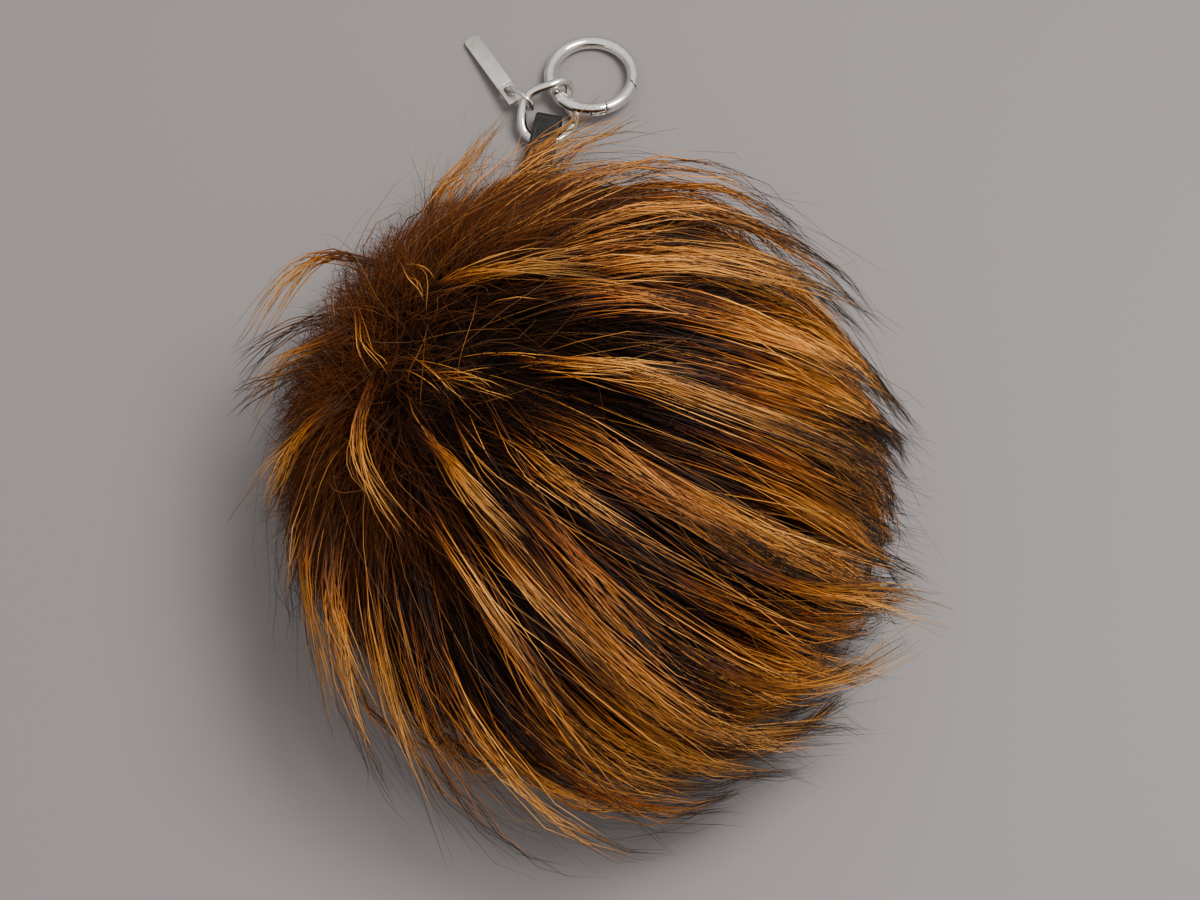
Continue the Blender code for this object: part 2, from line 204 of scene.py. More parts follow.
deselect_all()
bpy.ops.mesh.primitive_grid_add(x_subdivisions=STRAP_COLUMNS, y_subdivisions=STRAP_ROWS, size=1.0)
strap = bpy.context.object
strap.name = "leather_strap"
for vert in strap.data.vertices:
    back, height = strap_place(vert.co.y + 0.5)
    vert.co = (vert.co.x * (STRAP_WIDTH - 2 * STRAP_INSET), -back, height)
wall = strap.modifiers.new("wall", "SOLIDIFY")
wall.thickness = STRAP_THICKNESS - STRAP_INSET
wall.offset = 0.0
edge = strap.modifiers.new("edge", "BEVEL")
edge.width = STRAP_EDGE
edge.segments = 3
edge.angle_limit = math.radians(60)
apply_modifiers(strap)
strap.location = STRAP_FOLD
strap.rotation_euler = (0.0, 0.0, -STRAP_TURN)
apply_place(strap)

leather, tree, shader = new_material("glossy_black_leather", 0.4)
place = add_node(tree, "ShaderNodeTexCoord").outputs["Object"]
grain = add_node(tree, "ShaderNodeTexVoronoi", {"Vector": place, "Scale": GRAIN_SCALE}).outputs["Distance"]
noise = {"Vector": place, "Scale": RUB_SCALE, "Detail": 4.0}
rubbed = add_node(tree, "ShaderNodeTexNoise", noise).outputs["Fac"]
stops = [(0.40, LEATHER_BLACK), (0.75, LEATHER_RUBBED)]
tree.links.new(add_ramp(tree, rubbed, stops), shader.inputs["Base Color"])
shine = add_node(tree, "ShaderNodeMapRange", {"Value": rubbed, "To Min": 0.22, "To Max": 0.42})
tree.links.new(shine.outputs["Result"], shader.inputs["Roughness"])
shader.inputs["Specular IOR Level"].default_value = 0.3
add_bump(tree, shader, grain, 0.25, 0.0001)
finish_piece(strap, leather, "charm", "leather_loop")

# The guard hair
# Long coarse hair, grown in tufts from the pelt and combed over from a whorl at the upper left, so that it
# lies to the right and down. Each hair is nearly black at its root, orange to gold along its shaft and black
# at its tip.
PILE_OFFSET = np.array((0.014, -0.013, 0.004))
PILE_HALF = np.array((0.082, 0.090, 0.058))
PILE_PUFF = 0.02
FAR_SIDE_PUFF = 0.035
COMBED_SIDE_PUFF = -0.035
TIP_REST_HEIGHT = 0.001
TABLE_SHARPNESS = 8
WHORL = unit(np.array((-0.66, 0.22, 0.72)))
COMB_SWEEP = 1.0
COMB_BEND = 1.2
FLOW = unit(np.array((0.98, -0.12, -0.12)))
FLOW_PULL = 0.50
FLOW_START = (-0.9, 0.2)
SWEEP_END = 0.9
SWEEP_EASE = 0.8
ROW_CROWDING = 0.8
STRAND_KINDS = 128
STRAND_UV_FILL = 0.8
STRAND_SHADES = (0.35, 1.25)
STRAND_TAPER = ((0.0, 0.15, 0.7, 1.0), (0.7, 1.0, 0.92, 0.14))
HAIR_BOX = ((-0.078, -0.115, -1.0), (0.107, 0.140, 0.114))
BOX_SHRINK = 1.5
TABLE_GAP = 0.0006
TABLE_SOFTNESS = 0.003
STRAP_ROOM = {"beside": 0.0044, "over": 0.0012, "behind": 0.002, "before": 0.014}
LIFT_SHARE = 0.6

TUFT_COUNT = 420
LOCKS_PER_TUFT = 4
HAIR_PER_TUFT = 47
LOCK_SPREAD = 0.30
STRAND_SPREAD = 0.20
GUARD_ROWS = 7
TUFT_REACH = (0.92, 1.24)
STRAND_REACH_SPREAD = 0.08
REACH_LIMITS = (0.35, 1.32)
TUFT_RISE = (0.50, 0.92)
STRAND_RISE_SPREAD = 0.06
RISE_LIMITS = (0.4, 1.1)
GUARD_WIDTH = (0.00018, 0.00034)
LOCK_PULL = 0.75
LOCK_EASE = 0.8
TUFT_PULL = 0.85
TUFT_TIGHTEST = 0.8
TUFT_TINTS = (0.05, 0.95)
STRAND_TINT_SPREAD = 0.22
STRAY_SHARE = 0.05
STRAY_LOOSENESS = 6.0
TUFT_WAVE = (0.0048, 3.6)
LOCK_WAVE = (0.0028, 6.0)
STRAND_WAVE = (0.0010, 5.0)
TIP_DROOP = 0.004
LOWEST_TUFT = 0.004
BARE_SIDE = unit(np.array((-0.80, 0.48, 0.38)))
THIN_SIDE = unit(np.array((-0.84, -0.36, 0.40)))
PARTING = unit(np.array((0.60, -0.72, 0.36)))
PARTING_HEIGHT = 0.75
WHORL_GROWTH = (20, 40, 0.04)
BARE_SIDE_GROWTH = (26, 60, 0.20)
THIN_SIDE_GROWTH = (18, 56, 0.30)
PARTING_GROWTH = (8, 20, 0.15)
TABLE_SIDE_GROWTH = (-0.9, -0.5, 0.5)
GUARD_GOLD = [
    (0.0, (0.006, 0.002, 0.001)), (0.35, (0.010, 0.003, 0.001)), (0.45, (0.13, 0.024, 0.001)),
    (0.54, (0.56, 0.165, 0.008)), (0.64, (0.95, 0.43, 0.080)), (0.75, (0.88, 0.40, 0.095)),
    (0.82, (0.12, 0.065, 0.035)), (0.88, (0.016, 0.016, 0.018)),
]
GUARD_RUST = [
    (0.0, (0.006, 0.002, 0.001)), (0.47, (0.011, 0.003, 0.001)), (0.57, (0.10, 0.017, 0.001)),
    (0.66, (0.42, 0.090, 0.005)), (0.74, (0.64, 0.22, 0.030)), (0.79, (0.22, 0.080, 0.018)),
    (0.83, (0.028, 0.018, 0.014)), (0.88, (0.013, 0.012, 0.014)),
]


def smooth_step(low, high, value):
    part = np.clip((value - low) / (high - low), 0, 1)
    return part * part * (3 - 2 * part)


def pile_reach(direction):
    puff = 1 + PILE_PUFF + FAR_SIDE_PUFF * smooth_step(0.1, 0.8, direction[..., 1])
    puff = puff + COMBED_SIDE_PUFF * smooth_step(0.2, 0.8, direction[..., 0])
    full = round_reach(direction, PILE_OFFSET, PILE_HALF) * puff
    level = level_reach(direction, TIP_REST_HEIGHT)
    return (full ** -TABLE_SHARPNESS + level ** -TABLE_SHARPNESS) ** (-1 / TABLE_SHARPNESS)


def combed(direction, height):
    """The directions that hair has reached at each height of the pile, from 0 at its root to 1."""
    level = (direction * WHORL).sum(-1, keepdims=True)
    sideways = unit(direction - WHORL * level)
    from_whorl = np.arccos(np.clip(level, -1, 1))
    swept = 2 * np.arctan(np.exp(COMB_SWEEP * height[..., None] ** COMB_BEND) * np.tan(from_whorl / 2))
    radial = WHORL * np.cos(swept) + sideways * np.sin(swept)
    pull = FLOW_PULL * smooth_step(*FLOW_START, (direction * FLOW).sum(-1, keepdims=True))
    return unit(radial + pull * FLOW * height[..., None] ** 2)


def pile_place(direction, height, rise):
    """Where hair rooted in these directions has got to at these heights of the pile."""
    here = combed(direction, height - SWEEP_EASE * np.maximum(height - SWEEP_END, 0) ** 2)
    inner = pelt_reach(here)
    outer = np.maximum(pile_reach(here), inner)
    return PELT_CENTRE + here * (inner + (outer - inner) * height ** rise)[..., None]


def row_shares(rows):
    """Shares of a strand's length at which its rows lie, closer together towards its tip."""
    return np.linspace(0, 1, rows) ** ROW_CROWDING


def spread_directions(count, rng, unevenness):
    """Directions all round, evenly spaced and then moved a little at random."""
    turn = np.arange(count) * math.pi * (3 - math.sqrt(5))
    level = 1 - 2 * (np.arange(count) + 0.5) / count
    flat = np.sqrt(1 - level ** 2)
    even = np.stack((np.cos(turn) * flat, np.sin(turn) * flat, level), axis=-1)
    return unit(even + rng.normal(size=even.shape) * unevenness / math.sqrt(count))


def new_object(name, data):
    made = bpy.data.objects.new(name, data)
    bpy.context.collection.objects.link(made)
    return made


def strand_mesh(name, lines, widths, kinds, finish, rng):
    """A mesh of closed three-sided strands along the lines. Its UV runs along each and across the kinds."""
    count, rows = lines.shape[:2]
    run = unit(np.gradient(lines, axis=1))
    whole = unit(lines[:, -1] - lines[:, 0])
    beside = unit(np.cross(whole, rng.normal(size=whole.shape)))[:, None, :]
    across = unit(beside - run * (beside * run).sum(-1, keepdims=True))
    over = np.cross(run, across)
    turns = 2 * math.pi * np.arange(3)[:, None] / 3
    outward = across[:, :, None] * np.cos(turns) + over[:, :, None] * np.sin(turns)
    tube = lines[:, :-1, None] + outward[:, :-1] * widths[:, :-1, None, None] / 2
    points = np.concatenate((tube.reshape(count, -1, 3), lines[:, -1:]), axis=1)

    faces = [(0, 2, 1)]
    uv = [((0.0, 0.0), (0.01, 1.0), (0.0, 1.0))]
    last = rows - 1
    shares = row_shares(rows)
    for row in range(last):
        low, high = shares[row], shares[row + 1]
        for side in range(3):
            after = (side + 1) % 3
            left, right = side / 3, (side + 1) / 3
            near, beyond = row * 3 + side, row * 3 + after
            if row == last - 1:
                faces.append((near, beyond, last * 3))
                uv.append(((low, left), (low, right), (high, (left + right) / 2)))
            else:
                faces += [(near, beyond, beyond + 3), (near, beyond + 3, near + 3)]
                uv += [((low, left), (low, right), (high, right)), ((low, left), (high, right), (high, left))]
    starts = np.arange(count) * points.shape[1]
    corners = (starts[:, None, None] + np.array(faces)).reshape(-1)
    pattern = np.tile(np.array(uv), (count, 1, 1, 1))
    margin = (1 - STRAND_UV_FILL) / 2
    pattern[..., 1] = (kinds[:, None, None] + margin + STRAND_UV_FILL * pattern[..., 1]) / STRAND_KINDS

    mesh = bpy.data.meshes.new(name)
    mesh.vertices.add(points.shape[0] * points.shape[1])
    mesh.vertices.foreach_set("co", points.ravel())
    mesh.loops.add(len(corners))
    mesh.loops.foreach_set("vertex_index", corners)
    mesh.polygons.add(len(corners) // 3)
    mesh.polygons.foreach_set("loop_start", np.arange(0, len(corners), 3))
    mesh.update(calc_edges=True)
    mesh.uv_layers.new(name="OFBake").data.foreach_set("uv", pattern.ravel())
    mesh.shade_smooth()
    finish_piece(new_object(name, mesh), finish, "charm", "fur_pompom")


def new_group(name, given, results):
    """A shader node group that turns given sockets, each of some kind, into plain values."""
    group = bpy.data.node_groups.new(name, "ShaderNodeTree")
    for socket, kind in given.items():
        group.interface.new_socket(name=socket, in_out="INPUT", socket_type=kind)
    for socket in results:
        group.interface.new_socket(name=socket, in_out="OUTPUT", socket_type="NodeSocketFloat")
    return group, group.nodes.new("NodeGroupInput").outputs, group.nodes.new("NodeGroupOutput").inputs


def add_math(tree, operation, *values):
    return add_node(tree, "ShaderNodeMath", dict(enumerate(values)), operation=operation).outputs[0]


def make_strand_group():
    """What the UV says of a place on a strand: how far along it is, and the strand's kind and shade."""
    sockets = {"UV": "NodeSocketVector", "Shift": "NodeSocketFloat"}
    group, given, results = new_group("strand_kind", sockets, ("Along", "Kind", "Shade"))
    split = add_node(group, "ShaderNodeSeparateXYZ", {"Vector": given["UV"]}).outputs
    kind = add_math(group, "SNAP", split["Y"], 1 / STRAND_KINDS)
    chance = add_node(group, "ShaderNodeTexWhiteNoise", {"W": kind}, noise_dimensions="1D").outputs["Value"]
    moved = add_math(group, "MULTIPLY_ADD", chance, given["Shift"], split["X"])
    along = add_math(group, "SUBTRACT", moved, add_math(group, "MULTIPLY", given["Shift"], 0.5))
    other = add_node(group, "ShaderNodeTexWhiteNoise", {"W": chance}, noise_dimensions="1D").outputs["Value"]
    shade = add_node(group, "ShaderNodeMapRange", {"Value": other, "To Min": STRAND_SHADES[0],
                                                   "To Max": STRAND_SHADES[1]}).outputs["Result"]
    for name, value in (("Along", along), ("Kind", kind), ("Shade", shade)):
        group.links.new(value, results[name])
    return group


def strand_finish(name, plain, warm, shift, roughness, gloss):
    """A finish for strands: two ramps along the strand, mixed by its kind, and shaded a little."""
    made, tree, shader = new_material(name, roughness)
    uv = add_node(tree, "ShaderNodeUVMap", uv_map="OFBake").outputs["UV"]
    strand = add_node(tree, "ShaderNodeGroup", {"UV": uv, "Shift": shift}, node_tree=strand_group).outputs
    mixed = add_node(tree, "ShaderNodeMix", {"Factor": strand["Kind"]}, data_type="RGBA")
    tree.links.new(add_ramp(tree, strand["Along"], warm), mixed.inputs["A"])
    tree.links.new(add_ramp(tree, strand["Along"], plain), mixed.inputs["B"])
    shaded = add_node(tree, "ShaderNodeHueSaturation", {"Color": mixed.outputs["Result"],
                                                        "Value": strand["Shade"]})
    tree.links.new(shaded.outputs["Color"], shader.inputs["Base Color"])
    shader.inputs["Specular IOR Level"].default_value = gloss
    return made


def angle_between(directions, other):
    return np.degrees(np.arccos(np.clip((directions * other).sum(-1), -1, 1)))


def growth(value, low, high, least):
    """Growth that is least where the value is low and full where it is high."""
    return least + (1 - least) * smooth_step(low, high, value)


def root_height(directions):
    return (PELT_CENTRE + directions * pelt_reach(directions)[:, None])[:, 2]


def kept_in_box(lines):
    """Lines that would run past the room round the solids, drawn in towards their roots until they fit it."""
    low, high = (np.array(corner) for corner in HAIR_BOX)
    root = lines[:, :1]
    reach = lines - root
    past = np.maximum(reach / (high - root), reach / (low - root)).max(axis=(1, 2))
    lines = root + reach * (np.maximum(past, 1) ** -BOX_SHRINK)[:, None, None]
    height = lines[..., 2] - TABLE_GAP
    lines[..., 2] = TABLE_GAP + (height + np.hypot(height, TABLE_SOFTNESS)) / 2
    return lines


def over_the_strap(lines):
    """Lines that would run into the strap, lifted over it."""
    x = lines[..., 0] - STRAP_FOLD[0]
    y = lines[..., 1] - STRAP_FOLD[1]
    beside = x * math.cos(STRAP_TURN) - y * math.sin(STRAP_TURN)
    back = -y / math.cos(STRAP_TURN)
    part = smooth_step(0, STRAP_LENGTH, back)
    top = STRAP_FOLD[2] + STRAP_FOLD_RADIUS + (STRAP_SEWN_HEIGHT - STRAP_FOLD[2]) * part + STRAP_ROOM["over"]
    near = 1 - smooth_step(STRAP_ROOM["beside"], 2 * STRAP_ROOM["beside"], abs(beside))
    near = near * (back < STRAP_LENGTH + STRAP_ROOM["behind"]) * (y < STRAP_ROOM["before"])
    lines[..., 2] += np.maximum(top - lines[..., 2], 0) * near
    return lines


def bent(lines, height, waves):
    """Lines pushed sideways and outwards by waves, each a size, a pace and a phase, growing to the tip."""
    run = unit(np.gradient(lines, axis=1))
    outward = unit(lines - PELT_CENTRE)
    sideways = unit(np.cross(run, outward))
    across = sum(size * np.sin(pace * height + phase) for size, pace, phase in waves)
    out = sum(size * LIFT_SHARE * np.cos(pace * height + 2 * phase) for size, pace, phase in waves)
    return lines + (sideways * across[..., None] + outward * out[..., None]) * height[..., None]


def random_phases(rng, *shape):
    return rng.uniform(0, 2 * math.pi, shape)


def grow_pieces(names, lines, tint, thick, finish, rng):
    """Pieces of strands along the lines, clear of the strap and the table, whose kinds follow their tint."""
    lines = over_the_strap(kept_in_box(lines))
    kinds = (np.clip(tint, 0, 0.999) * STRAND_KINDS).astype(int)
    taper = np.interp(row_shares(lines.shape[1]), *STRAND_TAPER)
    for name, part in zip(names, np.array_split(np.arange(len(lines)), len(names))):
        widths = rng.uniform(*thick, size=(len(part), 1)) * taper
        strand_mesh(name, lines[part], widths, kinds[part], finish, rng)


def grow_guard_hair(tufts, fullness, rng):
    """Middle lines and tints of guard hair: strands drawn together in small locks, and the locks in tufts."""
    counts = np.round(HAIR_PER_TUFT * fullness).astype(int)
    tuft = np.repeat(np.arange(len(tufts)), counts)
    count = len(tuft)
    cell = math.sqrt(4 * math.pi / TUFT_COUNT)
    locks = unit(tufts[:, None] + rng.normal(size=(len(tufts), LOCKS_PER_TUFT, 3)) * cell * LOCK_SPREAD)
    pick = rng.integers(0, LOCKS_PER_TUFT, size=count)
    lead = tufts[tuft]
    lock = locks[tuft, pick]
    own = unit(lock + rng.normal(size=(count, 3)) * cell * STRAND_SPREAD)

    reach = rng.uniform(*TUFT_REACH, len(tufts))[tuft] + rng.normal(size=count) * STRAND_REACH_SPREAD
    height = row_shares(GUARD_ROWS)[None, :] * np.clip(reach, *REACH_LIMITS)[:, None]
    rise = rng.uniform(*TUFT_RISE, len(tufts))[tuft] + rng.normal(size=count) * STRAND_RISE_SPREAD
    looseness = np.where(rng.random(count) < STRAY_SHARE, STRAY_LOOSENESS, 1.0)[:, None]
    to_lock = (LOCK_PULL * height ** LOCK_EASE / looseness)[..., None]
    to_tuft = (TUFT_PULL * (1 - (1 - height / TUFT_TIGHTEST) ** 2) / looseness)[..., None]
    direction = unit(own[:, None] + (lock - own)[:, None] * to_lock + (lead - lock)[:, None] * to_tuft)
    lines = pile_place(direction, height, np.clip(rise, *RISE_LIMITS)[:, None])

    tuft_phase = random_phases(rng, len(tufts))[tuft][:, None]
    lock_phase = random_phases(rng, *locks.shape[:2])[tuft, pick][:, None]
    own_wave = (STRAND_WAVE[0] * looseness, STRAND_WAVE[1], random_phases(rng, count, 1))
    lines = bent(lines, height, ((*TUFT_WAVE, tuft_phase), (*LOCK_WAVE, lock_phase), own_wave))
    lines[..., 2] -= TIP_DROOP * height ** 3
    return lines, rng.uniform(*TUFT_TINTS, len(tufts))[tuft] + rng.normal(size=count) * STRAND_TINT_SPREAD


rng = np.random.default_rng(21)
strand_group = make_strand_group()
guard_finish = strand_finish("dyed_guard_hair", GUARD_GOLD, GUARD_RUST, 0.16, 0.45, 0.22)
tufts = spread_directions(TUFT_COUNT, rng, 1.0)
tufts = tufts[root_height(tufts) > LOWEST_TUFT]
tufts = tufts[np.argsort(tufts[:, 0])]
fullness = growth(angle_between(tufts, WHORL), *WHORL_GROWTH)
fullness *= growth(angle_between(tufts, BARE_SIDE), *BARE_SIDE_GROWTH)
fullness *= growth(angle_between(tufts, THIN_SIDE), *THIN_SIDE_GROWTH)
fullness *= growth(angle_between(combed(tufts, np.array(PARTING_HEIGHT)), PARTING), *PARTING_GROWTH)
fullness *= growth(tufts[:, 2], *TABLE_SIDE_GROWTH)
lines, tint = grow_guard_hair(tufts, fullness, rng)
pieces = ("guard_hair_left", "guard_hair_middle", "guard_hair_right")
grow_pieces(pieces, lines, tint, GUARD_WIDTH, guard_finish, rng)

# The underfur
# Short, fine, crimped wool under the guard hair. It is rust brown on the upper left, where little else grows,
# a duller brown between the tufts, and low and nearly black in the hollow beside the whorl. The duller brown
# and the near black are partly the wool's own darker colour and partly painted shade of these deep places.
UNDERFUR_COUNT = 19000
UNDERFUR_LENGTH = (0.018, 0.032)
UNDERFUR_ROWS = 4
UNDERFUR_WIDTH = (0.00010, 0.00019)
UNDERFUR_SWEEP = 0.62
UNDERFUR_TANGLE = 0.15
UNDERFUR_ELSEWHERE = 0.22
# Underfur away from the bare side, under the tufts, is duller: partly its colour, partly painted shade.
UNDERFUR_TINT_AND_SHADE_ELSEWHERE = 0.38
UNDERFUR_TINT_SPREAD = 0.12
UNDERFUR_REACH_LIMITS = (0.1, 1.05)
LOWEST_UNDERFUR = 0.003
SHORTEST_PILE = 0.001
CRIMP = (0.0012, 9.0)
BARE_SIDE_SPAN = (30, 90)
BARE_SIDE_TINT_SPAN = (35, 80)
HOLLOW = unit(np.array((-0.16, 0.02, 0.98)))
HOLLOW_SPAN = (18, 40)
HOLLOW_LENGTH = 0.55
UNDERFUR_BRIGHT = [
    (0.0, (0.008, 0.003, 0.001)), (0.30, (0.035, 0.009, 0.002)), (0.65, (0.13, 0.034, 0.006)),
    (1.0, (0.19, 0.060, 0.014)),
]
# The near-black ramp: the wool's dark colour, and painted shade in the hollow and between the tufts.
UNDERFUR_DARK_AND_SHADE = [
    (0.0, (0.005, 0.002, 0.001)), (0.6, (0.010, 0.003, 0.001)), (1.0, (0.022, 0.006, 0.002)),
]

underfur_finish = strand_finish("underfur_dye_and_painted_shade", UNDERFUR_BRIGHT, UNDERFUR_DARK_AND_SHADE, 0.10, 0.7, 0.1)
roots = unit(rng.normal(size=(UNDERFUR_COUNT * 4, 3)))
chance = growth(-angle_between(roots, BARE_SIDE), -BARE_SIDE_SPAN[1], -BARE_SIDE_SPAN[0], UNDERFUR_ELSEWHERE)
grown = (rng.random(len(roots)) < chance) & (root_height(roots) > LOWEST_UNDERFUR)
roots = roots[grown][:UNDERFUR_COUNT]
roots = roots[np.argsort(roots[:, 0])]
in_hollow = 1 - smooth_step(*HOLLOW_SPAN, angle_between(roots, HOLLOW))
on_bare_side = 1 - smooth_step(*BARE_SIDE_TINT_SPAN, angle_between(roots, BARE_SIDE))
length = rng.uniform(*UNDERFUR_LENGTH, len(roots)) * (1 - (1 - HOLLOW_LENGTH) * in_hollow)
room = np.maximum(pile_reach(roots) - pelt_reach(roots), SHORTEST_PILE)
height = row_shares(UNDERFUR_ROWS)[None, :] * np.clip(length / room, *UNDERFUR_REACH_LIMITS)[:, None]
tangle = rng.normal(size=(len(roots), 1, 3)) * UNDERFUR_TANGLE * height[..., None]
lines = pile_place(unit(roots[:, None] + tangle), height * UNDERFUR_SWEEP, np.ones((1, 1)))
outward = unit(lines - PELT_CENTRE)
lines = PELT_CENTRE + outward * (pelt_reach(outward) + room[:, None] * height)[..., None]
lines = bent(lines, height, ((*CRIMP, random_phases(rng, len(roots), 1)),))
# Rust on the bare side, duller under the tufts and near black in the hollow, partly as painted shade.
tint = (UNDERFUR_TINT_AND_SHADE_ELSEWHERE + (1 - UNDERFUR_TINT_AND_SHADE_ELSEWHERE) * on_bare_side) * (1 - in_hollow)
tint += rng.normal(size=len(roots)) * UNDERFUR_TINT_SPREAD
grow_pieces(("underfur_left", "underfur_right"), lines, tint, UNDERFUR_WIDTH, underfur_finish, rng)

# The stray hairs
# Single long hairs that have come loose from the tufts. The dark ones stand out past the rest all round, and
# the pale ones lie across the tufts in long waves.
STRAY_COUNT = 900
STRAY_ROWS = 9
STRAY_WIDTH = (0.00010, 0.00018)
STRAY_REACH = (0.85, 1.50)
STRAY_DARK_REACH = (0.95, 1.15)
STRAY_RISE = (0.5, 0.9)
STRAY_WAVES = ((0.003, 3.0), (0.0009, 8.0))
STRAY_LEAN = 0.22
STRAY_LOWEST = -0.10
STRAY_PALE_TINT = 0.8
STRAY_PALE = [
    (0.0, (0.020, 0.006, 0.001)), (0.18, (0.20, 0.045, 0.003)), (0.40, (0.62, 0.20, 0.015)),
    (0.62, (0.84, 0.36, 0.060)), (0.86, (0.60, 0.26, 0.050)), (0.94, (0.06, 0.035, 0.020)),
]
STRAY_DARK = [
    (0.0, (0.008, 0.003, 0.002)), (0.45, (0.16, 0.06, 0.015)), (0.62, (0.05, 0.035, 0.025)),
    (0.75, (0.016, 0.015, 0.018)),
]

stray_finish = strand_finish("stray_hair", STRAY_PALE, STRAY_DARK, 0.10, 0.40, 0.25)
roots = unit(rng.normal(size=(STRAY_COUNT * 2, 3)))
roots = roots[roots[:, 2] > STRAY_LOWEST][:STRAY_COUNT]
reach = rng.uniform(*STRAY_REACH, len(roots))
height = row_shares(STRAY_ROWS)[None, :] * reach[:, None]
lean = rng.normal(size=(len(roots), 1, 3)) * STRAY_LEAN * height[..., None]
lines = pile_place(unit(roots[:, None] + lean), height, rng.uniform(*STRAY_RISE, (len(roots), 1)))
phases = random_phases(rng, 2, len(roots), 1)
lines = bent(lines, height, [(*wave, phase) for wave, phase in zip(STRAY_WAVES, phases)])
tint = STRAY_PALE_TINT * (1 - smooth_step(*STRAY_DARK_REACH, reach))
tint += rng.random(len(roots)) * (1 - STRAY_PALE_TINT)
grow_pieces(("stray_hair",), lines, tint, STRAY_WIDTH, stray_finish, rng)

# The hair at the neck
# Where the strap is sewn in, the pelt is gathered round its end, and its fur stands out along the strap: a
# soft brown fuzz over the seam, and some long gold hairs that cross the strap and the links.
NECK_MIDDLE = (-0.0080, 0.0569, 0.0095)
NECK_TILT = math.radians(-18)
NECK_BACK = 0.024
NECK_PLEATS = 9
NECK_PLEAT_DEPTH = 0.10
NECK_WIDE = (0.0105, 0.0090)
NECK_END = (0.0056, 0.0042)
NECK_ROWS = 6
NECK_ROOT_X = -0.008
NECK_ROOT_NARROWING = 0.45
NECK_ROOT_SPREAD = 0.005
NECK_ROOT_Y = (0.030, 0.046)
NECK_ROOT_Z = (0.012, 0.040)
NECK_ROOT_DEPTH = 0.001
NECK_BOW = (0.004, 0.016)
NECK_FUZZ_COUNT = 2400
NECK_FUZZ_ENDS = ((-0.030, 0.060, 0.010), (0.018, 0.094, 0.026))
NECK_FUZZ_EDGE = {"x": 0.001, "y": 0.088, "curve": 28.0}
NECK_FUZZ_LIFT = (0.002, 0.012)
NECK_FUZZ_WAVE = (0.0016, 8.0)
NECK_FUZZ_TINT = (0.45, 0.14)
NECK_HAIR_COUNT = 130
NECK_HAIR_ENDS = ((-0.034, 0.078, 0.011), (0.036, 0.112, 0.018))
NECK_HAIR_EDGE = {"x": -0.004, "flat": 0.010, "curve": 14.0}
NECK_HAIR_LIFT = (0.006, 0.016)
NECK_HAIR_WAVE = (0.0022, 4.0)
NECK_HAIR_TINTS = (0.1, 0.9)


def edit_all():
    """Opens the active piece for editing, with all of it selected."""
    bpy.ops.object.mode_set(mode="EDIT")
    bpy.ops.mesh.select_all(action="SELECT")


def turn_faces_out():
    edit_all()
    bpy.ops.mesh.normals_make_consistent(inside=False)
    bpy.ops.object.mode_set(mode="OBJECT")


deselect_all()
bpy.ops.mesh.primitive_cylinder_add(vertices=72, radius=1.0, depth=1.0, location=(0, 0, 0))
neck = bpy.context.object
neck.name = "gathered_neck"
edit_all()
bpy.ops.mesh.subdivide(number_cuts=5)
bpy.ops.object.mode_set(mode="OBJECT")
for vert in neck.data.vertices:
    share = vert.co.z + 0.5
    wave = math.sin(NECK_PLEATS * math.atan2(vert.co.y, vert.co.x))
    pleat = 1 + NECK_PLEAT_DEPTH * wave * (0.4 + 0.6 * share)
    wide, tall = (one + (other - one) * share ** 0.7 for one, other in zip(NECK_WIDE, NECK_END))
    vert.co = (vert.co.x * wide * pleat, -NECK_BACK * (1 - share), vert.co.y * tall * pleat)
neck.location = NECK_MIDDLE
neck.rotation_euler = (NECK_TILT, 0.0, -STRAP_TURN)
apply_place(neck)
turn_faces_out()
finish_piece(neck, pelt_skin, "charm", "fur_pompom")


def neck_lines(ends, lift, wave, rng):
    """Wavy lines from the pelt by the neck, up and out to their ends."""
    count = len(ends)
    starts = np.stack((NECK_ROOT_X + (ends[:, 0] - NECK_ROOT_X) * NECK_ROOT_NARROWING,
                       rng.uniform(*NECK_ROOT_Y, count), rng.uniform(*NECK_ROOT_Z, count)), axis=-1)
    starts[:, 0] += rng.normal(size=count) * NECK_ROOT_SPREAD
    inward = unit(starts - PELT_CENTRE)
    starts = PELT_CENTRE + inward * (pelt_reach(inward) - NECK_ROOT_DEPTH)[:, None]
    share = row_shares(NECK_ROWS)
    lines = starts[:, None] + (ends - starts)[:, None] * share[:, None]
    lines[..., 2] += np.sin(share * math.pi) * rng.uniform(*lift, (count, 1))
    lines[..., 0] += (share ** 2 - share) * rng.uniform(*NECK_BOW, (count, 1))
    waves = ((*wave, random_phases(rng, count, 1)),)
    return bent(lines, np.broadcast_to(share, lines.shape[:2]), waves)


ends = rng.uniform(*NECK_FUZZ_ENDS, size=(NECK_FUZZ_COUNT, 3))
near_y, far_y = (corner[1] for corner in NECK_FUZZ_ENDS)
edge_y = NECK_FUZZ_EDGE["y"] - NECK_FUZZ_EDGE["curve"] * (ends[:, 0] - NECK_FUZZ_EDGE["x"]) ** 2
ends[:, 1] = near_y + (ends[:, 1] - near_y) * (edge_y - near_y) / (far_y - near_y)
lines = neck_lines(ends, NECK_FUZZ_LIFT, NECK_FUZZ_WAVE, rng)
tint = NECK_FUZZ_TINT[0] + rng.normal(size=len(lines)) * NECK_FUZZ_TINT[1]
grow_pieces(("neck_fuzz",), lines, tint, UNDERFUR_WIDTH, underfur_finish, rng)

ends = rng.uniform(*NECK_HAIR_ENDS, size=(NECK_HAIR_COUNT, 3))
aside = np.maximum(abs(ends[:, 0] - NECK_HAIR_EDGE["x"]) - NECK_HAIR_EDGE["flat"], 0)
ends[:, 1] -= NECK_HAIR_EDGE["curve"] * aside ** 2
lines = neck_lines(ends, NECK_HAIR_LIFT, NECK_HAIR_WAVE, rng)
tint = rng.uniform(*NECK_HAIR_TINTS, len(lines))
grow_pieces(("neck_hair",), lines, tint, STRAY_WIDTH, stray_finish, rng)

